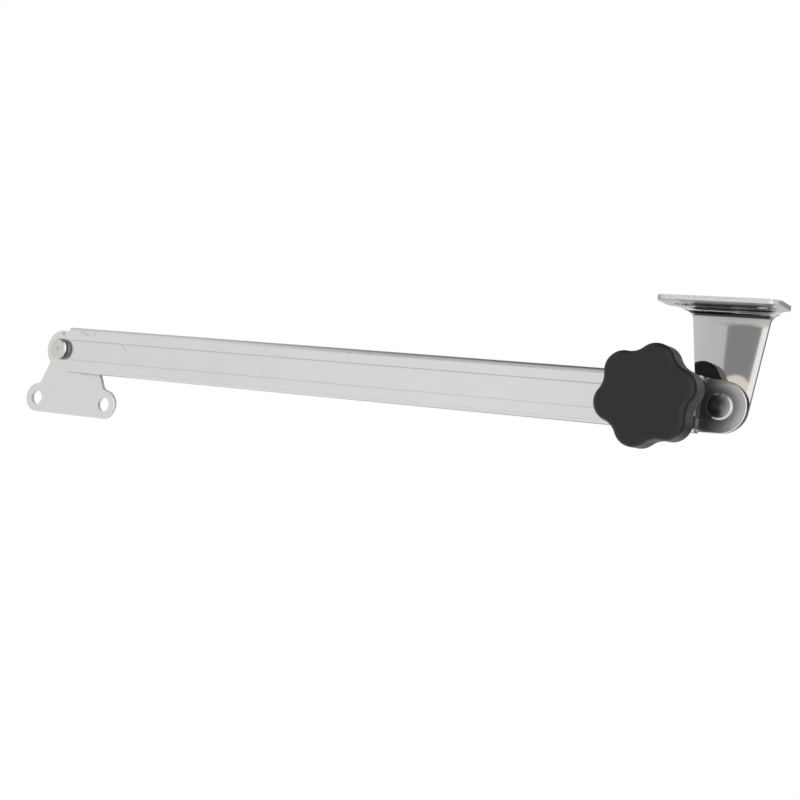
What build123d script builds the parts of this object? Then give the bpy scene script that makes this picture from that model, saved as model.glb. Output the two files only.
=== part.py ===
"""Telescopic lid support: a slotted channel slides on a flat bar and is clamped by a star knob.

Frame: +X along the arm towards the lid bracket, +Z up, -Y towards the viewer.
The origin is midway between the side plate's two screw holes, on its mounting face.
Every "out" value is a distance from that mounting face towards the viewer.
All sizes are in millimetres.
"""
import os
from math import cos, radians, sin

from build123d import *

# Overall layout
pivot_distance = 267.5      # side plate pin to bracket pin, arm closed
pin_rise = 20.2             # pin above the line of the screw holes
pin_offset = 2.6            # pin to the left of the middle of the screw holes
travel = 165.0              # how far the arm extends

# Sheet and bar stock
plate_thick = 1.5
channel_sheet = 1.2
bar_thick = 2.5
bar_height = 15.0

# Clearances
plate_gap = 1.3             # side plate or bracket to the back of the channel
slide_gap = 0.2             # bar to web, and bar to lips
side_gap = 0.2              # bar to the channel's folded sides
running_clearance = 0.05    # pin or stud in a bore, on the radius
end_gap = 0.3               # channel mouth to the side plate pin's spacer

# Screw holes
screw_hole_d = 5.6

# Side plate
plate_hole_spacing = 36.0
plate_ear_r = 5.7
plate_top_r = 10.9
plate_top_rise = 17.2       # centre of the rounded top above the screw holes
plate_base_half = 19.6      # half width of the tapered body at the screw holes
plate_base_band = 0.6       # straight part at the foot of the taper
plate_neck_r = 3.0
sheet_edge = 0.2            # broken edges of the sheet pieces

# Pivot pins
pin_d = 5.0
pin_head_d = 8.3
plate_pin_head = 2.4        # head height on the slide bar
bracket_pin_head = 1.0      # head height on the channel's ear
pin_head_chamfer = 0.6
pin_pip_d = 1.0             # centre mark left by turning, on the side plate's pin
pin_pip_depth = 0.3
pin_flare = 0.6             # tail spread into a countersink

# Spacer and washer on the pivots
spacer_d = 8.2
pivot_washer_d = 11.0

# Channel
channel_bend_r = 0.25       # inside radius of the folds
slot_width = 7.8
mouth_setback = 6.0         # right end of the folded part, short of the bracket pin
ear_inset = 0.6             # the ear's edge inside the folded sides

# Travel stop
stop_setback = 8.0          # rivet from the channel's left mouth
stop_d = 3.0
stop_head_d = 4.6
stop_reach = 0.9            # rivet into the groove
groove_depth = 1.2
groove_clearance = 0.3

# Bar and clamp stud
knob_setback = 15.5         # knob axis, short of the bracket pin
bar_end = 7.2               # bar beyond the knob axis
bar_corner_r = 1.5
stud_d = 6.0
stud_head_d = 9.6
stud_engagement = 10.5      # stud inside the knob's insert
stud_tip_chamfer = 0.6

# Clamp washer
washer_d = 15.0
washer_thick = 1.2
washer_clearance = 0.2      # on the radius

# Star knob
knob_d = 32.0
knob_lobes = 6
knob_lobe_r = 6.0
knob_valley = 2.4           # depth of the hollows between lobes
knob_turn_deg = 16.5        # a lobe's angle above +X
knob_head_thick = 10.4
knob_front_r = 2.0
knob_back_chamfer = 0.8
hub_height = 11.0
hub_d = 14.5
hub_taper_deg = 4.0
insert_d = 9.0
insert_length = 13.0

# Lid bracket
bracket_r = 8.1
bracket_top_half = 12.3     # half width of its plate at the fold
flange_rise = 31.5          # top of the flange above the bracket pin
flange_width = 37.8
flange_reach = 20.0         # front edge from the mounting face
flange_corner_r = 4.0
flange_root_half = 14.3     # half width where the flange runs into the fold
flange_root_out = 6.0       # where that narrowing starts
flange_notch_r = 3.0        # hollow corners between the fold and the plate's sides
flange_notch_drop = 0.7     # those corners below the flange's underside
flange_hole_spacing = 25.4
flange_hole_out = 10.0
fold_r = 2.0                # inside radius of the fold

# Depth stack, outwards from the mounting face
plate_front = plate_thick
web_back = plate_front + plate_gap
web_front = web_back + channel_sheet
bar_back = web_front + slide_gap
bar_front = bar_back + bar_thick
lip_back = bar_front + slide_gap
lip_front = lip_back + channel_sheet
channel_depth = lip_front - web_back
arm_height = bar_height + 2 * (side_gap + channel_sheet)
ear_r = arm_height / 2 - ear_inset
washer_front = lip_front + washer_thick
knob_head_back = washer_front + hub_height

# Places along the arm
pin_x = -pin_offset
bracket_x = pin_x + pivot_distance
knob_x = bracket_x - knob_setback
mouth_left = pin_x + spacer_d / 2 + end_gap
mouth_right = bracket_x - mouth_setback
stop_x = mouth_left + stop_setback
bar_right = knob_x + bar_end
bore_d = pin_d + 2 * running_clearance
stud_tip = washer_front + stud_engagement

os.makedirs("parts", exist_ok=True)


def front(out):
    """Sketch plane facing the viewer, the given distance out from the mounting face."""
    return Plane.XZ.offset(out)


def disc(x, diameter, out, thickness, hole_d):
    """Ring round a pivot or stud axis on the arm's centre line."""
    with BuildPart() as ring:
        with BuildSketch(front(out)):
            with Locations((x, pin_rise)):
                Circle(diameter / 2)
                Circle(hole_d / 2, mode=Mode.SUBTRACT)
        extrude(amount=thickness)
    return ring


def pivot_pin(x, head_out, head_height):
    """Turned pin with a flat chamfered head, its tail spread flush with the plate's back."""
    with BuildPart() as pin:
        with BuildSketch(front(0)):
            with Locations((x, pin_rise)):
                Circle(pin_d / 2)
        extrude(amount=head_out)
        with BuildSketch(front(0)):
            with Locations((x, pin_rise)):
                Circle(pin_d / 2 + pin_flare)
        extrude(amount=pin_flare, taper=45)
        with BuildSketch(front(head_out)):
            with Locations((x, pin_rise)):
                Circle(pin_head_d / 2)
        extrude(amount=head_height)
        face_rim = pin.edges().filter_by(GeomType.CIRCLE).group_by(Axis.Y)[0]
        chamfer(face_rim, pin_head_chamfer)
    return pin


def finish(piece, name):
    """Name a finished piece and write it out."""
    piece.part.label = name
    export_step(piece.part, f"parts/{name}.step")


# Side plate: two screw ears below a tapered body with a rounded top
with BuildPart() as side_plate:
    with BuildSketch(front(0)) as plate_outline:
        with Locations((0, plate_top_rise)):
            Circle(plate_top_r)
        Rectangle(2 * plate_base_half, plate_base_band)
        make_hull()
        with Locations((-plate_hole_spacing / 2, 0), (plate_hole_spacing / 2, 0)):
            Circle(plate_ear_r)
        with Locations((0, -plate_ear_r / 2)):
            Rectangle(plate_hole_spacing, plate_ear_r)
        above_holes = plate_outline.vertices().filter_by(lambda v: v.Y > plate_ear_r / 2)
        fillet(above_holes.group_by(Axis.Y)[0], plate_neck_r)
    extrude(amount=plate_thick)
    rims = side_plate.faces().filter_by(Axis.Y).edges()
    chamfer(rims, sheet_edge)
    with BuildSketch(front(0)):
        with GridLocations(plate_hole_spacing, 1, 2, 1):
            Circle(screw_hole_d / 2)
        with Locations((pin_x, pin_rise)):
            Circle(pin_d / 2)
    extrude(amount=plate_thick, mode=Mode.SUBTRACT)
    with BuildSketch(front(0)):
        with Locations((pin_x, pin_rise)):
            Circle(pin_d / 2 + pin_flare)
    extrude(amount=pin_flare, taper=45, mode=Mode.SUBTRACT)
finish(side_plate, "side_plate")

with BuildPart() as plate_pivot_pin:
    add(pivot_pin(pin_x, bar_front, plate_pin_head).part)
    with BuildSketch(front(bar_front + plate_pin_head)):
        with Locations((pin_x, pin_rise)):
            Circle(pin_pip_d / 2)
    extrude(amount=-pin_pip_depth, taper=45, mode=Mode.SUBTRACT)
finish(plate_pivot_pin, "plate_pivot_pin")

plate_pivot_spacer = disc(pin_x, spacer_d, plate_front, bar_back - plate_front, pin_d)
finish(plate_pivot_spacer, "plate_pivot_spacer")

# Slide bar: round end on the side plate's pin, square end inside the channel
with BuildPart() as slide_bar:
    with BuildSketch(front(bar_back)) as bar_outline:
        with Locations((pin_x, pin_rise)):
            Circle(bar_height / 2)
        with Locations(((pin_x + bar_right) / 2, pin_rise)):
            Rectangle(bar_right - pin_x, bar_height)
        fillet(bar_outline.vertices().group_by(Axis.X)[-1], bar_corner_r)
        with Locations((pin_x, pin_rise)):
            Circle(bore_d / 2, mode=Mode.SUBTRACT)
        with Locations((knob_x, pin_rise)):
            Circle(stud_d / 2, mode=Mode.SUBTRACT)
    extrude(amount=bar_thick)
    # countersink for the stud's head
    with BuildSketch(front(bar_back)):
        with Locations((knob_x, pin_rise)):
            Circle(stud_head_d / 2)
    extrude(amount=(stud_head_d - stud_d) / 2, taper=45, mode=Mode.SUBTRACT)
    # groove that the stop rivet runs along
    groove_half = stop_d / 2 + groove_clearance
    with BuildSketch(front(bar_back)):
        with Locations((stop_x + travel / 2, pin_rise)):
            SlotCenterToCenter(travel, 2 * groove_half)
    extrude(amount=groove_depth, mode=Mode.SUBTRACT)
finish(slide_bar, "slide_bar")

# Clamp stud: countersunk head flush in the bar, shank out through the slot
with BuildPart() as clamp_stud:
    with BuildSketch(front(bar_back)):
        with Locations((knob_x, pin_rise)):
            Circle(stud_d / 2)
    extrude(amount=stud_tip - bar_back)
    tip = clamp_stud.edges().filter_by(GeomType.CIRCLE).group_by(Axis.Y)[0]
    chamfer(tip, stud_tip_chamfer)
    with BuildSketch(front(bar_back)):
        with Locations((knob_x, pin_rise)):
            Circle(stud_head_d / 2)
    extrude(amount=(stud_head_d - stud_d) / 2, taper=45)
finish(clamp_stud, "clamp_stud")

# Channel: folded strip with two lips, its web carried on as a rounded ear
with BuildPart() as outer_channel:
    with BuildSketch(Plane.YZ.offset(mouth_left)):
        with Locations((-(web_back + lip_front) / 2, pin_rise)):
            RectangleRounded(channel_depth, arm_height, channel_bend_r + channel_sheet)
            RectangleRounded(
                channel_depth - 2 * channel_sheet,
                arm_height - 2 * channel_sheet,
                channel_bend_r,
                mode=Mode.SUBTRACT,
            )
        with Locations((-lip_front, pin_rise)):
            Rectangle(2 * channel_sheet, slot_width, mode=Mode.SUBTRACT)
    extrude(amount=mouth_right - mouth_left)
    with BuildSketch(front(web_back)):
        with Locations((bracket_x, pin_rise)):
            Circle(ear_r)
        with Locations((bracket_x - mouth_setback / 2, pin_rise)):
            Rectangle(mouth_setback, 2 * ear_r)
    extrude(amount=channel_sheet)
    ear_rim = outer_channel.edges().filter_by(GeomType.CIRCLE).sort_by(Axis.X)[-2:]
    chamfer(ear_rim, sheet_edge)
    with BuildSketch(front(web_back)):
        with Locations((bracket_x, pin_rise)):
            Circle(bore_d / 2)
    extrude(amount=channel_sheet, mode=Mode.SUBTRACT)
    # countersunk hole for the stop rivet
    with BuildSketch(front(web_back)):
        with Locations((stop_x, pin_rise)):
            Circle(stop_d / 2)
    extrude(amount=channel_sheet, mode=Mode.SUBTRACT)
    with BuildSketch(front(web_back)):
        with Locations((stop_x, pin_rise)):
            Circle(stop_head_d / 2)
    extrude(amount=(stop_head_d - stop_d) / 2, taper=45, mode=Mode.SUBTRACT)
finish(outer_channel, "outer_channel")

# Stop rivet: countersunk flush in the web, its shank in the bar's groove
with BuildPart() as stop_rivet:
    with BuildSketch(front(web_back)):
        with Locations((stop_x, pin_rise)):
            Circle(stop_d / 2)
    extrude(amount=channel_sheet + slide_gap + stop_reach)
    with BuildSketch(front(web_back)):
        with Locations((stop_x, pin_rise)):
            Circle(stop_head_d / 2)
    extrude(amount=(stop_head_d - stop_d) / 2, taper=45)
finish(stop_rivet, "stop_rivet")

clamp_washer = disc(knob_x, washer_d, lip_front, washer_thick, stud_d + 2 * washer_clearance)
finish(clamp_washer, "clamp_washer")

# Star knob: lobes and hollows are arcs that meet tangentially
with BuildPart() as knob:
    half_step = 180.0 / knob_lobes
    lobe_centre = knob_d / 2 - knob_lobe_r
    valley_r = knob_d / 2 - knob_valley
    hollow_r = lobe_centre**2 + valley_r**2 - knob_lobe_r**2
    hollow_r -= 2 * lobe_centre * valley_r * cos(radians(half_step))
    hollow_r /= 2 * (knob_lobe_r - valley_r + lobe_centre * cos(radians(half_step)))
    hollow_centre = valley_r + hollow_r
    share = knob_lobe_r / (knob_lobe_r + hollow_r)

    def polar(radius, degrees):
        """Point about the knob's axis, in the front view."""
        turn = radians(knob_turn_deg + degrees)
        return Vector(knob_x + radius * cos(turn), pin_rise + radius * sin(turn))

    def meet(lobe_deg, hollow_deg):
        """Point where a lobe's arc runs into a hollow's arc."""
        start = polar(lobe_centre, lobe_deg)
        return start + (polar(hollow_centre, hollow_deg) - start) * share

    with BuildSketch(front(washer_front)):
        with Locations((knob_x, pin_rise)):
            Circle(hub_d / 2)
    extrude(amount=hub_height, taper=-hub_taper_deg)
    with BuildSketch(front(knob_head_back)):
        with BuildLine():
            for lobe in range(knob_lobes):
                angle = 2 * half_step * lobe
                rise_point = meet(angle, angle - half_step)
                fall_point = meet(angle, angle + half_step)
                next_point = meet(angle + 2 * half_step, angle + half_step)
                ThreePointArc(rise_point, polar(knob_d / 2, angle), fall_point)
                ThreePointArc(fall_point, polar(valley_r, angle + half_step), next_point)
        make_face()
    extrude(amount=knob_head_thick)
    knob_face = knob.faces().sort_by(Axis.Y)[0]
    fillet(knob_face.edges(), knob_front_r)
    knob_underside = knob.faces().filter_by(Axis.Y).sort_by(Axis.Y)[1]
    chamfer(knob_underside.outer_wire().edges(), knob_back_chamfer)
    with BuildSketch(front(washer_front)):
        with Locations((knob_x, pin_rise)):
            Circle(insert_d / 2)
    extrude(amount=insert_length, mode=Mode.SUBTRACT)
finish(knob, "knob")

# Threaded insert moulded into the knob
with BuildPart() as knob_insert:
    with BuildSketch(front(washer_front)):
        with Locations((knob_x, pin_rise)):
            Circle(insert_d / 2)
            Circle(stud_d / 2 + running_clearance, mode=Mode.SUBTRACT)
    extrude(amount=insert_length)
finish(knob_insert, "knob_insert")

bracket_pivot_washer = disc(bracket_x, pivot_washer_d, plate_front, plate_gap, pin_d)
finish(bracket_pivot_washer, "bracket_pivot_washer")

bracket_pivot_pin = pivot_pin(bracket_x, web_front, bracket_pin_head)
finish(bracket_pivot_pin, "bracket_pivot_pin")

# Lid bracket: one folded sheet, a tapered plate with a wider flange on top
with BuildPart() as lid_bracket:
    flange_top = pin_rise + flange_rise
    with BuildSketch(Plane.YZ.offset(bracket_x - flange_width / 2)) as fold:
        with BuildLine():
            Polyline(
                (0, pin_rise - bracket_r),
                (0, flange_top),
                (-flange_reach, flange_top),
                (-flange_reach, flange_top - plate_thick),
                (-plate_thick, flange_top - plate_thick),
                (-plate_thick, pin_rise - bracket_r),
                close=True,
            )
        make_face()
        outer_corner = fold.vertices().group_by(Axis.Y)[-1].sort_by(Axis.X)[-1]
        fillet(outer_corner, fold_r + plate_thick)
        inner_side = fold.vertices().filter_by(lambda v: v.X < -plate_thick / 2 and v.Y < flange_top)
        fillet(inner_side.group_by(Axis.Y)[-1].sort_by(Axis.X)[-1], fold_r)
    extrude(amount=flange_width)
    # plan view: narrow the flange's back corners towards the fold
    with BuildSketch(Plane.XY.offset(flange_top)):
        for side in (-1, 1):
            with BuildLine():
                Polyline(
                    (bracket_x + side * flange_width / 2, -flange_root_out),
                    (bracket_x + side * flange_root_half, -plate_thick),
                    (bracket_x + side * flange_root_half, 0),
                    (bracket_x + side * flange_width / 2, 0),
                    close=True,
                )
            make_face()
    extrude(amount=-flange_rise, mode=Mode.SUBTRACT)
    # front view: hollow corners under the fold, then a taper down to the round end at the pin
    with BuildSketch(front(0)) as taper_outline:
        with Locations((bracket_x, pin_rise)):
            Circle(bracket_r)
        notch_z = flange_top - plate_thick - flange_notch_drop
        with Locations((bracket_x, notch_z)):
            Rectangle(2 * bracket_top_half, plate_thick, align=(Align.CENTER, Align.MIN))
        make_hull()
        with Locations((bracket_x, flange_top)):
            Rectangle(flange_width, 2 * (flange_top - notch_z))
        at_notch = taper_outline.vertices().filter_by(lambda v: abs(v.Y - notch_z) < sheet_edge)
        hollow_corners = at_notch.filter_by(lambda v: abs(v.X - bracket_x) < flange_width / 2 - sheet_edge)
        fillet(hollow_corners, flange_notch_r)
    extrude(amount=flange_reach, mode=Mode.INTERSECT)
    front_corners = lid_bracket.edges().filter_by(Axis.Z).group_by(Axis.Y)[0]
    fillet(front_corners, flange_corner_r)
    with BuildSketch(Plane.XY.offset(flange_top)):
        with Locations((bracket_x, -flange_hole_out)):
            with GridLocations(flange_hole_spacing, 1, 2, 1):
                Circle(screw_hole_d / 2)
    extrude(amount=-plate_thick, mode=Mode.SUBTRACT)
    with BuildSketch(front(0)):
        with Locations((bracket_x, pin_rise)):
            Circle(pin_d / 2)
    extrude(amount=plate_thick, mode=Mode.SUBTRACT)
    with BuildSketch(front(0)):
        with Locations((bracket_x, pin_rise)):
            Circle(pin_d / 2 + pin_flare)
    extrude(amount=pin_flare, taper=45, mode=Mode.SUBTRACT)
finish(lid_bracket, "lid_bracket")
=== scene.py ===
"""Looks of the telescopic lid support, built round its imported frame, in metres.

The frame is the part's own: +X along the arm to the lid bracket, +Z up, -Y to the viewer.
"""
from math import cos, radians, sin

import bpy
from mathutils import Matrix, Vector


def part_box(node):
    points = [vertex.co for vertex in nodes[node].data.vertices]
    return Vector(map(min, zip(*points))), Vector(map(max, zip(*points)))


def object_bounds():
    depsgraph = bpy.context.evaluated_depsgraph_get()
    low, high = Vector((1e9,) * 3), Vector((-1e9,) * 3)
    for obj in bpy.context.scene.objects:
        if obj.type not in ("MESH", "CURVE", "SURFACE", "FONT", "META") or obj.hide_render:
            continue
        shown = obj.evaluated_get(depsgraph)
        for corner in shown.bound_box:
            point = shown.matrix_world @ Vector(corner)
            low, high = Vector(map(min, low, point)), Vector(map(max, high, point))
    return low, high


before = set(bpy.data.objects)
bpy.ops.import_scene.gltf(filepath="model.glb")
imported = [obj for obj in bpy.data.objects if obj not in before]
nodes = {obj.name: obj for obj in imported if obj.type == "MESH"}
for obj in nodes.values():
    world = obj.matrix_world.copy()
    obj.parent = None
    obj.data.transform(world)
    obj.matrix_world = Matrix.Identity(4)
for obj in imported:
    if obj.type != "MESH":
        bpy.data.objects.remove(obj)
cad_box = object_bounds()
MM = 0.001

scene = bpy.context.scene
scene.view_settings.view_transform = "Standard"
bpy.ops.object.select_all(action="DESELECT")

# Mix node's inputs for two numbers and for two colours
NUMBER_A, NUMBER_B = 2, 3
COLOUR_A, COLOUR_B = 6, 7


def linear(hex_colour):
    """sRGB hex value as a linear RGBA colour."""
    channels = [int(hex_colour[i:i + 2], 16) / 255 for i in (1, 3, 5)]
    return [c / 12.92 if c <= 0.04045 else ((c + 0.055) / 1.055) ** 2.4 for c in channels] + [1.0]


def add(tree, kind, inputs=(), **settings):
    """One node with its settings. An input is a value, an output to link, or a node that gives its
    first live output."""
    node = tree.nodes.new(kind)
    for name, value in settings.items():
        setattr(node, name, value)
    for socket, value in dict(inputs).items():
        if isinstance(value, bpy.types.Node):
            value = next(output for output in value.outputs if output.enabled)
        if isinstance(value, bpy.types.NodeSocket):
            tree.links.new(value, node.inputs[socket])
        else:
            node.inputs[socket].default_value = value
    return node


def empty_material(name):
    """New material without nodes, and its tree."""
    material = bpy.data.materials.new(name)
    material.use_nodes = True
    material.node_tree.nodes.clear()
    return material, material.node_tree


def surface(tree):
    """Place of a point on the piece, that place by axis, and the way it faces by axis."""
    coords = add(tree, "ShaderNodeTexCoord")
    place = coords.outputs["Object"]
    spot = add(tree, "ShaderNodeSeparateXYZ", {"Vector": place}).outputs
    facing = add(tree, "ShaderNodeSeparateXYZ", {"Vector": coords.outputs["Normal"]}).outputs
    return place, spot, facing


def paint(material, *names):
    """Put a material on CAD nodes."""
    for name in names:
        for slot in nodes[name].material_slots:
            slot.material = material


def per_mm(size_mm):
    """Noise scale that makes one feature about this many millimetres across."""
    return 1.0 / (size_mm * MM)


# Where things are, read from the frame
pin_low, pin_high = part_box("plate_pivot_pin")
lid_pin_low, lid_pin_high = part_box("bracket_pivot_pin")
lid_low, lid_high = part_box("lid_bracket")
insert_low, insert_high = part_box("knob_insert")
axis_z = (pin_low.z + pin_high.z) / 2
plate_pin_x = (pin_low.x + pin_high.x) / 2
lid_pin_x = (lid_pin_low.x + lid_pin_high.x) / 2
knob_x = (insert_low.x + insert_high.x) / 2


# A face counts as facing a way when its normal has at least this much of it
STEEP = 0.5
# how dark the knob's painted shade is, on the ear and on the bracket pin's head
KNOB_SHADE_STRENGTH = 0.85

# Channel's shape, its wear and its painted shade, in millimetres above or below the arm's axis
SLOT_HALF_MM = 3.9
SLOT_SHADE_HALF_MM = 0.14
SLOT_SHADE_STRENGTH = 0.30
FOLD_START_MM = 7.4
FOLD_SHADE_START_MM, FOLD_SHADE_FULL_MM = 6.8, 7.5
PITS_HEIGHT_MM = 7.6
PITS_FULL_MM, PITS_FADE_MM = 0.3, 0.8
# and along the arm, the ear and the knob's painted shade on it, measured back from the bracket pin
EAR_REACH_MM = 5.8
KNOB_SHADE_FULL_MM, KNOB_SHADE_END_MM = 6.5, 1.0
FOLD_SHADE_FROM_X_MM, FOLD_SHADE_TO_X_MM = 60.0, 150.0
PITS_MIDDLE_X_MM = 165.0
PITS_DENSE_MM, PITS_REACH_MM = 35.0, 64.0
# how far down a face looks where the underside's painted shade begins, and where it is full
UNDERSIDE_FROM, UNDERSIDE_FULL = -0.85, -0.98


def channel_wear(tree, place, spot, facing, height, folded_part):
    """Marks of making and use on the channel, and painted shade on it: a mask and the tint it leaves, for
    each.
    """
    # painted shade in a thin line along the slot's lower lip, where it meets the bar
    slot_shade = add(tree, "ShaderNodeMath", {
        0: height, 1: -(SLOT_HALF_MM + SLOT_SHADE_HALF_MM) * MM, 2: SLOT_SHADE_HALF_MM * MM}, operation="COMPARE")
    slot_shade = add(tree, "ShaderNodeMath", {0: slot_shade, 1: folded_part}, operation="MULTIPLY")
    slot_shade = add(tree, "ShaderNodeMath", {0: slot_shade, 1: SLOT_SHADE_STRENGTH}, operation="MULTIPLY")
    # painted shade on the underside, darker towards the knob
    underside_shade = add(tree, "ShaderNodeMapRange", {
        "Value": facing["Z"], "From Min": UNDERSIDE_FROM, "From Max": UNDERSIDE_FULL})
    toward_knob = add(tree, "ShaderNodeMapRange", {
        "Value": spot["X"], "From Min": 0.0, "From Max": knob_x, "To Min": 0.2, "To Max": 0.9})
    underside_shade = add(tree, "ShaderNodeMath", {0: underside_shade, 1: toward_knob}, operation="MULTIPLY")
    # painted shade of the knob on the ear at the channel's mouth, thinning out towards the pin
    knob_shade = add(tree, "ShaderNodeMapRange", {
        "Value": spot["X"], "From Min": lid_pin_x - KNOB_SHADE_FULL_MM * MM,
        "From Max": lid_pin_x - KNOB_SHADE_END_MM * MM, "To Min": KNOB_SHADE_STRENGTH, "To Max": 0.0})
    on_ear = add(tree, "ShaderNodeMath", {0: 1.0, 1: folded_part}, operation="SUBTRACT")
    knob_shade = add(tree, "ShaderNodeMath", {0: knob_shade, 1: on_ear}, operation="MULTIPLY")
    # painted shade in a grey band along the top fold, darker towards the knob
    near_fold = add(tree, "ShaderNodeMapRange", {
        "Value": height, "From Min": FOLD_SHADE_START_MM * MM, "From Max": FOLD_SHADE_FULL_MM * MM})
    along_arm = add(tree, "ShaderNodeMapRange", {
        "Value": spot["X"], "From Min": FOLD_SHADE_FROM_X_MM * MM, "From Max": FOLD_SHADE_TO_X_MM * MM, "To Max": 0.5})
    fold_shade = add(tree, "ShaderNodeMath", {0: near_fold, 1: along_arm}, operation="MULTIPLY")
    # small dark pits in clusters just under the top fold
    cells = add(tree, "ShaderNodeTexVoronoi", {"Vector": place, "Scale": per_mm(0.55)})
    pit = add(tree, "ShaderNodeMapRange", {"Value": cells, "From Min": 0.45, "From Max": 0.15})
    chance = add(tree, "ShaderNodeSeparateColor", {"Color": cells.outputs["Color"]})
    cluster = add(tree, "ShaderNodeTexNoise", {
        "Vector": place, "Scale": per_mm(9.0), "Detail": 1.0, "Roughness": 0.5})
    picked = add(tree, "ShaderNodeMath", {0: chance, 1: cluster}, operation="ADD")
    strength = add(tree, "ShaderNodeMapRange", {
        "Value": picked, "From Min": 0.8, "From Max": 1.4, "To Max": 0.7})
    pits = add(tree, "ShaderNodeMath", {0: pit, 1: strength}, operation="MULTIPLY")
    for value, middle_mm, full_mm, fade_mm in (
            (height, PITS_HEIGHT_MM, PITS_FULL_MM, PITS_FADE_MM),
            (spot["X"], PITS_MIDDLE_X_MM, PITS_DENSE_MM, PITS_REACH_MM)):
        away = add(tree, "ShaderNodeMath", {0: value, 1: middle_mm * MM}, operation="SUBTRACT")
        away = add(tree, "ShaderNodeMath", {0: away}, operation="ABSOLUTE")
        within = add(tree, "ShaderNodeMapRange", {
            "Value": away, "From Min": fade_mm * MM, "From Max": full_mm * MM})
        pits = add(tree, "ShaderNodeMath", {0: pits, 1: within}, operation="MULTIPLY")
    return [
        (slot_shade, "#8f8f8d"), (underside_shade, "#5c5a58"), (knob_shade, "#2a2826"), (fold_shade, "#8f8d8b"), (pits, "#5e5b59")]


# A scratch is drawn as a line of painted shade in its furrow and a line of painted highlight beside it:
# offset (mm), tint and strength
SCRATCH_HALF_WIDTH_MM = 0.15
SCRATCH_SHADE_AND_HIGHLIGHT = ((0.0, "#7f7c7a", 0.6), (0.35, "#ffffff", 0.3))
# tint of the smudges, and of the painted shade round the bracket pin
MARK_AND_SHADE_TINT = "#6d6a67"
EAR_ROUGHNESS = 0.265
SHEARED_ROUGHNESS = 0.5


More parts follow.
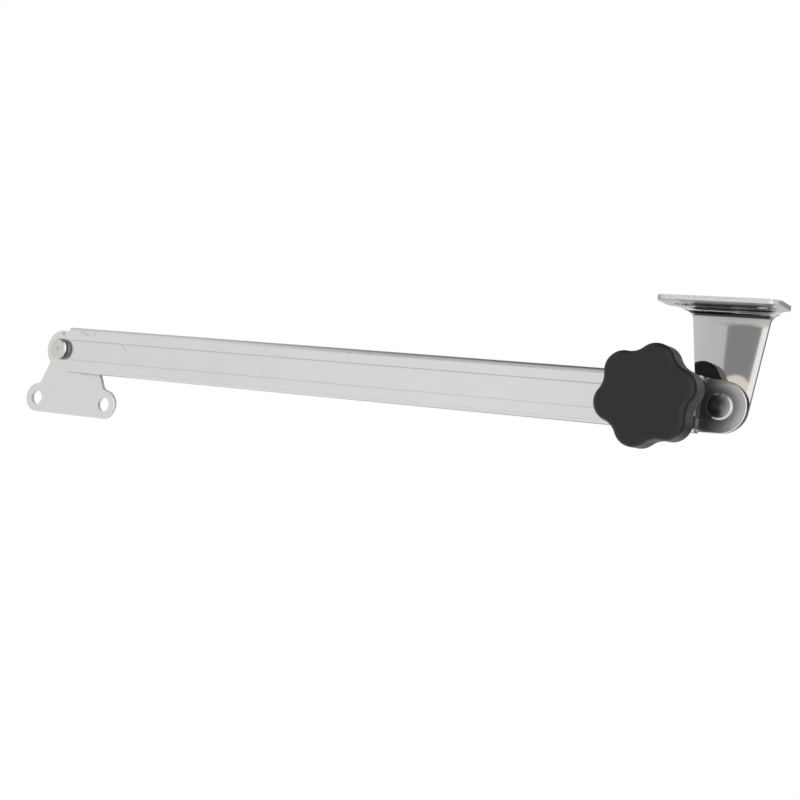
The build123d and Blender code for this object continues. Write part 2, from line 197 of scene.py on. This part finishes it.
def satin_stainless(name, marks_and_shade=(), scratches=(), folded=False):
    """Satin-polished stainless sheet: pale, softly blurred reflections with fine lines along the arm,
    grey and duller where it was sheared or punched, with a few small smudges. Scratches are drawn with
    painted shade in the furrow and a painted highlight beside it; on the channel, painted shade darkens
    the slot's lower lip, the top fold, the underside, the ear by the knob and the ear round the pin."""
    material, tree = empty_material(name)
    place, spot, facing = surface(tree)
    along = add(tree, "ShaderNodeMapping", {"Vector": place, "Scale": (0.012, 1.0, 1.0)})
    grain = add(tree, "ShaderNodeTexNoise", {
        "Vector": along, "Scale": per_mm(0.35), "Detail": 3.0, "Roughness": 0.6})
    smudge = add(tree, "ShaderNodeTexNoise", {
        "Vector": place, "Scale": per_mm(14.0), "Detail": 3.0, "Roughness": 0.5})
    colour = add(tree, "ShaderNodeMix", {
        "Factor": smudge, COLOUR_A: linear("#d3d3d2"), COLOUR_B: linear("#dbdbda")}, data_type="RGBA")
    satin = add(tree, "ShaderNodeMapRange", {
        "Value": smudge, "From Min": 0.3, "From Max": 0.7, "To Min": 0.20, "To Max": 0.26})
    height = add(tree, "ShaderNodeMath", {0: spot["Z"], 1: axis_z}, operation="SUBTRACT")
    flat = add(tree, "ShaderNodeCombineXYZ", {"X": spot["X"], "Z": height})
    # cut edges face neither the viewer nor the wall
    sideways = add(tree, "ShaderNodeMath", {0: facing["Y"]}, operation="ABSOLUTE")
    sheared = add(tree, "ShaderNodeMapRange", {"Value": sideways, "From Min": 0.6, "From Max": 0.3})
    cut_grey = linear("#cfccc9")
    tints = []
    if folded:
        # the folds and the ear's rim were polished with the faces
        off_axis = add(tree, "ShaderNodeMath", {0: height}, operation="ABSOLUTE")
        inside = add(tree, "ShaderNodeMath", {0: off_axis, 1: FOLD_START_MM * MM}, operation="LESS_THAN")
        folded_part = add(tree, "ShaderNodeMath", {
            0: spot["X"], 1: lid_pin_x - EAR_REACH_MM * MM}, operation="LESS_THAN")
        inside = add(tree, "ShaderNodeMath", {0: inside, 1: folded_part}, operation="MULTIPLY")
        sheared = add(tree, "ShaderNodeMath", {0: sheared, 1: inside}, operation="MULTIPLY")
        # the channel's right end is left dark, the ear beyond it is polished less
        cut_end = add(tree, "ShaderNodeMath", {0: facing["X"], 1: STEEP}, operation="GREATER_THAN")
        cut_grey = add(tree, "ShaderNodeMix", {
            "Factor": cut_end, COLOUR_A: cut_grey, COLOUR_B: linear("#242221")}, data_type="RGBA")
        satin = add(tree, "ShaderNodeMix", {
            "Factor": folded_part, NUMBER_A: EAR_ROUGHNESS, NUMBER_B: satin}, data_type="FLOAT")
        tints += channel_wear(tree, place, spot, facing, height, folded_part)
    for x_mm, z_mm, turn_deg, half_mm in scratches:
        laid = add(tree, "ShaderNodeMapping", {
            "Vector": flat, "Location": (x_mm * MM, 0.0, z_mm * MM),
            "Rotation": (0.0, radians(turn_deg), 0.0)}, vector_type="TEXTURE")
        run = add(tree, "ShaderNodeSeparateXYZ", {"Vector": laid}).outputs
        length = add(tree, "ShaderNodeMath", {0: run["X"], 1: 0.0, 2: half_mm * MM}, operation="COMPARE")
        # each scratch: painted shade in the furrow and a painted highlight beside it
        for side_mm, tint, strength in SCRATCH_SHADE_AND_HIGHLIGHT:
            line = add(tree, "ShaderNodeMath", {
                0: run["Z"], 1: side_mm * MM, 2: SCRATCH_HALF_WIDTH_MM * MM}, operation="COMPARE")
            line = add(tree, "ShaderNodeMath", {0: line, 1: length}, operation="MULTIPLY")
            line = add(tree, "ShaderNodeMath", {0: line, 1: strength}, operation="MULTIPLY")
            tints.append((line, tint))
    for x_mm, z_mm, radius_mm, depth in marks_and_shade:
        near = add(tree, "ShaderNodeVectorMath", {
            0: flat, 1: (x_mm * MM, 0.0, z_mm * MM)}, operation="DISTANCE")
        dot = add(tree, "ShaderNodeMapRange", {
            "Value": near, "From Min": radius_mm * MM, "From Max": 0.0, "To Max": depth})
        tints.append((dot, MARK_AND_SHADE_TINT))
    for mask, tint in tints:
        colour = add(tree, "ShaderNodeMix", {
            "Factor": mask, COLOUR_A: colour, COLOUR_B: linear(tint)}, data_type="RGBA")
    colour = add(tree, "ShaderNodeMix", {
        "Factor": sheared, COLOUR_A: colour, COLOUR_B: cut_grey}, data_type="RGBA")
    rough = add(tree, "ShaderNodeMix", {
        "Factor": sheared, NUMBER_A: satin, NUMBER_B: SHEARED_ROUGHNESS}, data_type="FLOAT")
    bare = add(tree, "ShaderNodeMapRange", {"Value": sheared, "To Min": 1.0, "To Max": 0.4})
    bump = add(tree, "ShaderNodeBump", {"Height": grain, "Strength": 0.15, "Distance": 0.004 * MM})
    shader = add(tree, "ShaderNodeBsdfPrincipled", {
        "Base Color": colour, "Roughness": rough, "Metallic": bare, "Normal": bump})
    add(tree, "ShaderNodeOutputMaterial", {"Surface": shader})
    return material


# Lid bracket, in millimetres down from its top or forward from its back
FLANGE_DEPTH_MM = 3.0
INNER_FACE_MM = 1.45
BEND_FOOT_MM, BEND_END_MM = 3.45, 3.7
FOOT_START_MM, FOOT_FULL_MM = 2.3, 2.9
STRIP_START_MM, STRIP_FULL_MM = 7.5, 9.5
DULL_START_MM, DULL_FULL_MM = 6.5, 5.0
# in from its front edge
FRONT_EDGE_MM = 1.2
FRONT_LINE_MM, FRONT_LINE_END_MM = 1.6, 2.6
# and to either side of its middle
HOLLOW_HALF_MM, HOLLOW_END_MM = 11.4, 12.6
# where the painted dark reflection in the bend is full, to the right of the middle
REFLECTION_FULL_X_MM = 6.0
FLANGE_EDGE_ROUGHNESS = 0.45


def bend_painted_reflections(tree, spot, facing):
    """Painted dark reflections under the flange and in the bend: a mask and the tint it leaves, for each."""
    under_flange = add(tree, "ShaderNodeMath", {
        0: spot["Z"], 1: lid_high.z - INNER_FACE_MM * MM}, operation="LESS_THAN")
    before_plate = add(tree, "ShaderNodeMath", {
        0: spot["Y"], 1: lid_high.y - INNER_FACE_MM * MM}, operation="LESS_THAN")
    above_plate = add(tree, "ShaderNodeMapRange", {
        "Value": spot["Z"], "From Min": lid_high.z - BEND_END_MM * MM,
        "From Max": lid_high.z - BEND_FOOT_MM * MM})
    from_middle = add(tree, "ShaderNodeMath", {0: spot["X"], 1: lid_pin_x}, operation="SUBTRACT")
    off_middle = add(tree, "ShaderNodeMath", {0: from_middle}, operation="ABSOLUTE")
    over_plate = add(tree, "ShaderNodeMapRange", {
        "Value": off_middle, "From Min": HOLLOW_END_MM * MM, "From Max": HOLLOW_HALF_MM * MM})
    hollow = under_flange
    for limit in (before_plate, above_plate, over_plate):
        hollow = add(tree, "ShaderNodeMath", {0: hollow, 1: limit}, operation="MULTIPLY")
    to_right = add(tree, "ShaderNodeMapRange", {
        "Value": from_middle, "From Min": 0.0, "From Max": REFLECTION_FULL_X_MM * MM,
        "To Min": 0.1, "To Max": 0.8})
    along_front = add(tree, "ShaderNodeMapRange", {
        "Value": spot["Y"], "From Min": lid_high.y - STRIP_START_MM * MM,
        "From Max": lid_high.y - STRIP_FULL_MM * MM})
    at_foot = add(tree, "ShaderNodeMapRange", {
        "Value": spot["Z"], "From Min": lid_high.z - FOOT_START_MM * MM,
        "From Max": lid_high.z - FOOT_FULL_MM * MM})
    painted_reflections = []
    # painted dark reflections: more to the right, along the front and at the foot of the hollow
    for where, tint in ((to_right, "#7a7876"), (along_front, "#7a7876"), (at_foot, "#403e3d")):
        painted_reflection = add(tree, "ShaderNodeMath", {0: hollow, 1: where}, operation="MULTIPLY")
        painted_reflections.append((painted_reflection, tint))
    # painted dark reflection in a line where the underside meets the front edge
    downward = add(tree, "ShaderNodeMath", {0: facing["Z"], 1: -STEEP}, operation="LESS_THAN")
    line = add(tree, "ShaderNodeMapRange", {
        "Value": spot["Y"], "From Min": lid_low.y + FRONT_LINE_END_MM * MM,
        "From Max": lid_low.y + FRONT_LINE_MM * MM})
    line = add(tree, "ShaderNodeMath", {0: downward, 1: line}, operation="MULTIPLY")
    return painted_reflections + [(line, "#4a4846")]


def mirror_stainless():
    """Bright-polished stainless sheet: clear reflections that waver a little and dull in the bend, with
    painted dark reflections under the flange and in the bend; the flange's sheared edge is pale and grainy,
    the plate's own sides are smooth."""
    material, tree = empty_material("bright_polished_stainless_sheet")
    place, spot, facing = surface(tree)
    wave = add(tree, "ShaderNodeTexNoise", {"Vector": place, "Scale": per_mm(15.0), "Detail": 0.0})
    torn = add(tree, "ShaderNodeTexNoise", {
        "Vector": place, "Scale": per_mm(0.5), "Detail": 3.0, "Roughness": 0.7})
    # sheared edges: the sides, and the front of the flange
    sideways = add(tree, "ShaderNodeMath", {0: facing["X"]}, operation="ABSOLUTE")
    side_edge = add(tree, "ShaderNodeMath", {0: sideways, 1: STEEP}, operation="GREATER_THAN")
    front_edge = add(tree, "ShaderNodeMath", {
        0: spot["Y"], 1: lid_low.y + FRONT_EDGE_MM * MM}, operation="LESS_THAN")
    upright = add(tree, "ShaderNodeMath", {0: facing["Z"]}, operation="ABSOLUTE")
    not_flat = add(tree, "ShaderNodeMath", {0: upright, 1: STEEP}, operation="LESS_THAN")
    front_cut = add(tree, "ShaderNodeMath", {0: front_edge, 1: not_flat}, operation="MULTIPLY")
    cut = add(tree, "ShaderNodeMath", {0: side_edge, 1: front_cut}, operation="MAXIMUM")
    on_flange = add(tree, "ShaderNodeMath", {
        0: spot["Z"], 1: lid_high.z - FLANGE_DEPTH_MM * MM}, operation="GREATER_THAN")
    edge = add(tree, "ShaderNodeMath", {0: cut, 1: on_flange}, operation="MULTIPLY")
    mottle = add(tree, "ShaderNodeMapRange", {"Value": torn, "From Min": 0.3, "From Max": 0.7})
    front_grey = add(tree, "ShaderNodeMix", {
        "Factor": mottle, COLOUR_A: linear("#a9a8a6"), COLOUR_B: linear("#e6e5e3")}, data_type="RGBA")
    side_grey = add(tree, "ShaderNodeMix", {
        "Factor": mottle, COLOUR_A: linear("#8b8a88"), COLOUR_B: linear("#b9b8b6")}, data_type="RGBA")
    grey = add(tree, "ShaderNodeMix", {
        "Factor": side_edge, COLOUR_A: front_grey, COLOUR_B: side_grey}, data_type="RGBA")
    plate = add(tree, "ShaderNodeMix", {
        "Factor": cut, COLOUR_A: linear("#d2d1cf"), COLOUR_B: linear("#c4c4ca")}, data_type="RGBA")
    colour = add(tree, "ShaderNodeMix", {
        "Factor": edge, COLOUR_A: plate, COLOUR_B: grey}, data_type="RGBA")
    # painted dark reflections in the bend and under the flange
    for mask, tint in bend_painted_reflections(tree, spot, facing):
        colour = add(tree, "ShaderNodeMix", {
            "Factor": mask, COLOUR_A: colour, COLOUR_B: linear(tint)}, data_type="RGBA")
    # the press dulled the bend and the flange
    bent = add(tree, "ShaderNodeMapRange", {
        "Value": spot["Z"], "From Min": lid_high.z - DULL_START_MM * MM,
        "From Max": lid_high.z - DULL_FULL_MM * MM, "To Min": 0.02, "To Max": 0.12})
    rough = add(tree, "ShaderNodeMix", {
        "Factor": edge, NUMBER_A: bent, NUMBER_B: FLANGE_EDGE_ROUGHNESS}, data_type="FLOAT")
    bare = add(tree, "ShaderNodeMapRange", {"Value": edge, "To Min": 1.0, "To Max": 0.5})
    relief = add(tree, "ShaderNodeMix", {"Factor": edge, NUMBER_A: wave, NUMBER_B: torn}, data_type="FLOAT")
    bump = add(tree, "ShaderNodeBump", {"Height": relief, "Strength": 0.10, "Distance": 0.03 * MM})
    shader = add(tree, "ShaderNodeBsdfPrincipled", {
        "Base Color": colour, "Roughness": rough, "Metallic": bare, "Normal": bump})
    add(tree, "ShaderNodeOutputMaterial", {"Surface": shader})
    return material


# Turned pins, in millimetres: the rings' depth, the flank from its head to its root, the knob's painted
# shade on the head
RING_DEPTH_MM = 0.018
FLANK_TOP_MM, FLANK_ROOT_MM = 0.9, 2.2
HEAD_SHADE_FULL_MM, HEAD_SHADE_END_MM = -3.6, 0.6
# a face that looks forward or back by less than this share is the flank
FLANK_FACING = 0.4
TURNED_GREY = "#d0cfcc"


def turned_stainless(
        name, centre_x, flank=TURNED_GREY, root=TURNED_GREY, mark_mm=0.0, crown=0.0, knob_shade=0.0):
    """Stainless turned on a lathe: fine rings about the pin's axis that fan the highlight; the flank takes
    the tones given from head to root, which on the plate-end pin are painted shade, and the head's left half
    can carry the knob's painted shade. A crown is the head's fall in millimetres per square millimetre of
    radius."""
    material, tree = empty_material(name)
    place, spot, facing = surface(tree)
    sideways = add(tree, "ShaderNodeMath", {0: facing["Y"]}, operation="ABSOLUTE")
    on_flank = add(tree, "ShaderNodeMath", {0: sideways, 1: FLANK_FACING}, operation="LESS_THAN")
    centred = add(tree, "ShaderNodeMapping", {"Vector": place, "Location": (-centre_x, 0.0, -axis_z)})
    across = add(tree, "ShaderNodeSeparateXYZ", {"Vector": centred}).outputs
    flat = add(tree, "ShaderNodeCombineXYZ", {"X": across["X"], "Z": across["Z"]})
    radius = add(tree, "ShaderNodeVectorMath", {0: flat}, operation="LENGTH")
    ring_place = add(tree, "ShaderNodeCombineXYZ", {"X": radius})
    rings = add(tree, "ShaderNodeTexNoise", {
        "Vector": ring_place, "Scale": per_mm(0.3), "Detail": 2.0, "Roughness": 0.6})
    tone = add(tree, "ShaderNodeMix", {
        "Factor": rings, COLOUR_A: linear("#bfbebb"), COLOUR_B: linear("#d6d5d2")}, data_type="RGBA")
    centre_mark = add(tree, "ShaderNodeMapRange", {
        "Value": radius, "From Min": mark_mm * MM, "From Max": 0.0, "To Max": 0.55})
    down = add(tree, "ShaderNodeMapRange", {
        "Value": spot["Y"], "From Min": pin_low.y + FLANK_TOP_MM * MM,
        "From Max": pin_low.y + FLANK_ROOT_MM * MM})
    # the flank's tones: on the plate-end pin they are painted shade, darkest by the head
    flank_tone = add(tree, "ShaderNodeMix", {
        "Factor": down, COLOUR_A: linear(flank), COLOUR_B: linear(root)}, data_type="RGBA")
    # painted shade of the knob on the head's left half
    head_shade = add(tree, "ShaderNodeMapRange", {
        "Value": across["X"], "From Min": HEAD_SHADE_FULL_MM * MM, "From Max": HEAD_SHADE_END_MM * MM,
        "To Min": knob_shade, "To Max": 0.0})
    for mask, tint in (
            (centre_mark, linear("#6f6d6a")), (on_flank, flank_tone), (head_shade, linear("#1e1d1c"))):
        tone = add(tree, "ShaderNodeMix", {"Factor": mask, COLOUR_A: tone, COLOUR_B: tint}, data_type="RGBA")
    # rings on a head that may be slightly crowned
    dome = add(tree, "ShaderNodeMath", {0: radius, 1: radius}, operation="MULTIPLY")
    dome = add(tree, "ShaderNodeMath", {0: dome, 1: -crown / MM}, operation="MULTIPLY")
    relief = add(tree, "ShaderNodeMath", {
        0: rings, 1: RING_DEPTH_MM * MM, 2: dome}, operation="MULTIPLY_ADD")
    bump = add(tree, "ShaderNodeBump", {"Height": relief, "Strength": 1.0, "Distance": 1.0})
    outward = add(tree, "ShaderNodeVectorMath", {0: flat}, operation="NORMALIZE")
    shader = add(tree, "ShaderNodeBsdfPrincipled", {
        "Base Color": tone, "Normal": bump, "Tangent": outward,
        "Metallic": 1.0, "Roughness": 0.22, "Anisotropic": 0.7})
    add(tree, "ShaderNodeOutputMaterial", {"Surface": shader})
    return material


def moulded_plastic():
    """Black moulded nylon: charcoal with a soft sheen, from a finely spark-eroded mould."""
    material, tree = empty_material("black_moulded_nylon")
    place = add(tree, "ShaderNodeTexCoord").outputs["Object"]
    grain = add(tree, "ShaderNodeTexNoise", {
        "Vector": place, "Scale": per_mm(0.35), "Detail": 3.0, "Roughness": 0.6})
    cloud = add(tree, "ShaderNodeTexNoise", {
        "Vector": place, "Scale": per_mm(7.0), "Detail": 3.0, "Roughness": 0.55})
    tone = add(tree, "ShaderNodeMix", {
        "Factor": cloud, COLOUR_A: linear("#17161a"), COLOUR_B: linear("#1b1a1f")}, data_type="RGBA")
    rough = add(tree, "ShaderNodeMapRange", {
        "Value": cloud, "From Min": 0.3, "From Max": 0.7, "To Min": 0.38, "To Max": 0.46})
    bump = add(tree, "ShaderNodeBump", {"Height": grain, "Strength": 0.35, "Distance": 0.02 * MM})
    shader = add(tree, "ShaderNodeBsdfPrincipled", {
        "Base Color": tone, "Roughness": rough, "Normal": bump, "IOR": 1.53, "Specular IOR Level": 0.30})
    add(tree, "ShaderNodeOutputMaterial", {"Surface": shader})
    return material


def machined_brass():
    """Machined brass: warm yellow, slightly uneven from the tool."""
    material, tree = empty_material("machined_brass")
    place = add(tree, "ShaderNodeTexCoord").outputs["Object"]
    uneven = add(tree, "ShaderNodeTexNoise", {
        "Vector": place, "Scale": per_mm(0.4), "Detail": 2.0, "Roughness": 0.5})
    tone = add(tree, "ShaderNodeMix", {
        "Factor": uneven, COLOUR_A: linear("#b8934a"), COLOUR_B: linear("#d8b76c")}, data_type="RGBA")
    shader = add(tree, "ShaderNodeBsdfPrincipled", {"Base Color": tone, "Metallic": 1.0, "Roughness": 0.3})
    add(tree, "ShaderNodeOutputMaterial", {"Surface": shader})
    return material


# Marks: along the arm, above its axis, radius (mm) and depth; the channel's last is painted shade round the
# bracket pin's head
BAR_MARKS = ((-2.4, 6.2, 1.1, 0.7), (-1.2, 4.9, 0.7, 0.3), (2.6, -7.0, 0.8, 0.2))
CHANNEL_MARKS_AND_SHADE = (
    (8.4, 7.3, 1.0, 0.35), (11.7, 6.3, 0.7, 0.6), (10.0, 7.0, 1.4, 0.2), (15.0, 6.9, 1.6, 0.12),
    (lid_pin_x / MM, 0.0, 6.5, 1.0))
# Scratches: middle along the arm and above its axis (mm), turn (degrees), half length (mm)
BAR_SCRATCHES = ((29.9, 2.3, 41.5, 1.67),)

# the plate-end pin's flank is painted dark as shade, lighter towards its root
plate_end = turned_stainless("turned_stainless_plate_end", plate_pin_x, "#2e2c2a", "#868482", mark_mm=0.9)
# the bracket pin's head carries the knob's painted shade on its left half
lid_end = turned_stainless("turned_stainless_lid_end", lid_pin_x, crown=0.010, knob_shade=KNOB_SHADE_STRENGTH)
paint(satin_stainless("satin_stainless_cut_sheet"), "side_plate")
paint(satin_stainless("satin_stainless_cut_bar", BAR_MARKS, BAR_SCRATCHES), "slide_bar")
paint(satin_stainless("satin_stainless_folded_sheet", CHANNEL_MARKS_AND_SHADE, folded=True), "outer_channel")
paint(mirror_stainless(), "lid_bracket")
paint(plate_end, "plate_pivot_pin", "plate_pivot_spacer")
paint(lid_end, "bracket_pivot_pin", "bracket_pivot_washer")
paint(turned_stainless("turned_stainless_clamp", knob_x), "clamp_stud", "clamp_washer", "stop_rivet")
paint(moulded_plastic(), "knob")
paint(machined_brass(), "knob_insert")

# Photograph's viewpoint
CAMERA_PLACE_MM = (381.76, -407.69, -4.27)
CAMERA_TURN_DEG = (92.135, -6.674, 29.238)
LENS_MM = 60.428
SENSOR_MM = 36.0
camera = bpy.data.objects.new("photo_camera", bpy.data.cameras.new("photo_camera"))
scene.collection.objects.link(camera)
camera.location = [v * MM for v in CAMERA_PLACE_MM]
camera.rotation_euler = [radians(v) for v in CAMERA_TURN_DEG]
camera.data.lens = LENS_MM
camera.data.sensor_width = SENSOR_MM
camera.data.clip_start = 0.01
camera.data.clip_end = 50.0
scene.camera = camera


# Tent's tones round the part: degrees to the left of straight in front, and tone
TENT_AROUND = (
    (-180, 0.58), (-168, 0.30), (-145, 0.10), (-115, 0.10), (-95, 0.40), (-80, 1.5), (-20, 1.5), (0, 0.90),
    (16, 0.70), (17.5, 0.78), (19.5, 1.12), (26, 1.07), (36, 0.98), (80, 0.98), (120, 0.8), (137, 0.70),
    (160, 0.64), (180, 0.58))
# and from straight below, 0, to straight above, 1
TENT_UPWARD = ((0.0, 0.8), (0.30, 0.8), (0.40, 1.0), (0.80, 0.9), (0.90, 0.7), (0.96, 0.15), (1.0, 0.12))
# Cards in front: their right and left edges, in the same degrees
GREY_CARD_DEG = (12.5, 16.15)
WHITE_CARD_DEG = (14, 15.68)
WHITE_CARD_LEAN = 0.14
WHITE_CARD_TONE = (1.28, 1.26, 1.24, 1.0)
# Round reflector: its turn and lift, and half its width, in degrees
REFLECTOR_TURN_DEG, REFLECTOR_LIFT_DEG, REFLECTOR_HALF_DEG = 15.6, 4.1, 0.6


def studio_world():
    """White studio tent, brightest at the front right, with dark card above and at the back right so
    that bright metal has edges; plain white where the camera looks straight at it."""
    world = bpy.data.worlds.new("white_tent")
    scene.world = world
    world.use_nodes = True
    tree = world.node_tree
    tree.nodes.clear()
    way = add(tree, "ShaderNodeTexCoord").outputs["Generated"]
    parts = add(tree, "ShaderNodeSeparateXYZ", {"Vector": way}).outputs
    leftward = add(tree, "ShaderNodeMath", {0: parts["X"], 1: -1.0}, operation="MULTIPLY")
    frontward = add(tree, "ShaderNodeMath", {0: parts["Y"], 1: -1.0}, operation="MULTIPLY")
    compass = add(tree, "ShaderNodeMath", {0: leftward, 1: frontward}, operation="ARCTAN2")
    turn = add(tree, "ShaderNodeMapRange", {
        "Value": compass, "From Min": radians(-180), "From Max": radians(180)})
    level = add(tree, "ShaderNodeMapRange", {"Value": parts["Z"], "From Min": -1.0, "From Max": 1.0})
    around_stops = [(0.5 + deg / 360, grey) for deg, grey in TENT_AROUND]
    greys = []
    for value, stops in ((turn, around_stops), (level, TENT_UPWARD)):
        ramp = add(tree, "ShaderNodeValToRGB", {"Fac": value})
        elements = ramp.color_ramp.elements
        elements[0].position = stops[0][0]
        elements[1].position = stops[-1][0]
        for stop, grey in stops[1:-1]:
            elements.new(stop)
        for element, (stop, grey) in zip(elements, stops):
            element.color = (grey, grey, grey, 1.0)
        greys.append(ramp)
    around, upward = greys
    tone = add(tree, "ShaderNodeMix", {
        "Factor": 1.0, COLOUR_A: around, COLOUR_B: upward}, data_type="RGBA", blend_type="MULTIPLY")
    # in front: a grey card, a small round reflector before it, and before both a white card, a little tilted
    lean = add(tree, "ShaderNodeMath", {
        0: parts["Z"], 1: WHITE_CARD_LEAN, 2: compass}, operation="MULTIPLY_ADD")
    cards = []
    for angle, (right_deg, left_deg) in ((compass, GREY_CARD_DEG), (lean, WHITE_CARD_DEG)):
        left = add(tree, "ShaderNodeMath", {0: angle, 1: radians(left_deg)}, operation="LESS_THAN")
        right = add(tree, "ShaderNodeMath", {0: angle, 1: radians(right_deg)}, operation="GREATER_THAN")
        cards.append(add(tree, "ShaderNodeMath", {0: left, 1: right}, operation="MULTIPLY"))
    grey_card, white_card = cards
    turn_to, lift = radians(REFLECTOR_TURN_DEG), radians(REFLECTOR_LIFT_DEG)
    round_way = (-sin(turn_to) * cos(lift), -cos(turn_to) * cos(lift), sin(lift))
    off_round = add(tree, "ShaderNodeVectorMath", {0: way, 1: round_way}, operation="DISTANCE")
    disc = add(tree, "ShaderNodeMath", {0: off_round, 1: radians(REFLECTOR_HALF_DEG)}, operation="LESS_THAN")
    for mask, tint in (
            (grey_card, linear("#989a9b")), (disc, linear("#fff5ea")), (white_card, WHITE_CARD_TONE)):
        tone = add(tree, "ShaderNodeMix", {"Factor": mask, COLOUR_A: tone, COLOUR_B: tint}, data_type="RGBA")
    seen = add(tree, "ShaderNodeLightPath").outputs["Is Camera Ray"]
    lit = add(tree, "ShaderNodeBackground", {"Color": tone})
    white = add(tree, "ShaderNodeBackground", {"Color": (1.0, 1.0, 1.0, 1.0)})
    both = add(tree, "ShaderNodeMixShader", {0: seen, 1: lit, 2: white})
    add(tree, "ShaderNodeOutputWorld", {"Surface": both})


# Floor: how far below the part and half its width in metres, and its tones
FLOOR_DROP = 0.2
FLOOR_HALF = 0.45
PAPER_TONE = (0.86, 0.86, 0.86, 1.0)
FLOOR_GLOW = (0.85, 0.85, 0.85, 1.0)
GLOW_IN_METAL = 0.1


def pale_floor():
    """Plain pale floor well below the arm, white to the camera except where the part shades it."""
    bpy.ops.mesh.primitive_plane_add(size=2 * FLOOR_HALF, location=(0.0, 0.0, cad_box[0][2] - FLOOR_DROP))
    floor = bpy.context.object
    floor.name = "floor"
    material, tree = empty_material("pale_paper")
    paper = add(tree, "ShaderNodeBsdfDiffuse", {"Color": PAPER_TONE})
    path = add(tree, "ShaderNodeLightPath").outputs
    shiny = add(tree, "ShaderNodeMath", {
        0: path["Is Glossy Ray"], 1: path["Is Transmission Ray"]}, operation="MAXIMUM")
    part_shiny = add(tree, "ShaderNodeMath", {0: shiny, 1: GLOW_IN_METAL}, operation="MULTIPLY")
    direct = add(tree, "ShaderNodeMath", {0: path["Is Camera Ray"], 1: part_shiny}, operation="MAXIMUM")
    glow = add(tree, "ShaderNodeEmission", {"Strength": direct, "Color": FLOOR_GLOW})
    both = add(tree, "ShaderNodeAddShader", {0: paper, 1: glow})
    add(tree, "ShaderNodeOutputMaterial", {"Surface": both})
    floor.data.materials.append(material)


def soft_lamp(name, place, target, size, power):
    """Large square area lamp facing a point."""
    lamp = bpy.data.objects.new(name, bpy.data.lights.new(name, "AREA"))
    scene.collection.objects.link(lamp)
    lamp.data.size = size
    lamp.data.energy = power
    lamp.location = place
    way = lamp.location.copy()
    for i in range(3):
        way[i] = target[i] - place[i]
    lamp.rotation_euler = way.to_track_quat("-Z", "Y").to_euler()
    lamp.visible_glossy = False


studio_world()
pale_floor()
middle = [(a + b) / 2 for a, b in zip(cad_box[0], cad_box[1])]
soft_lamp("overhead_softbox", place=(-0.5, -0.7, 1.2), target=middle, size=1.0, power=7.0)
soft_lamp("right_softbox", place=(1.2, -0.1, 0.2), target=middle, size=0.8, power=6.0)
soft_lamp("back_softbox", place=(-0.3, 0.9, 0.5), target=middle, size=0.8, power=6.0)
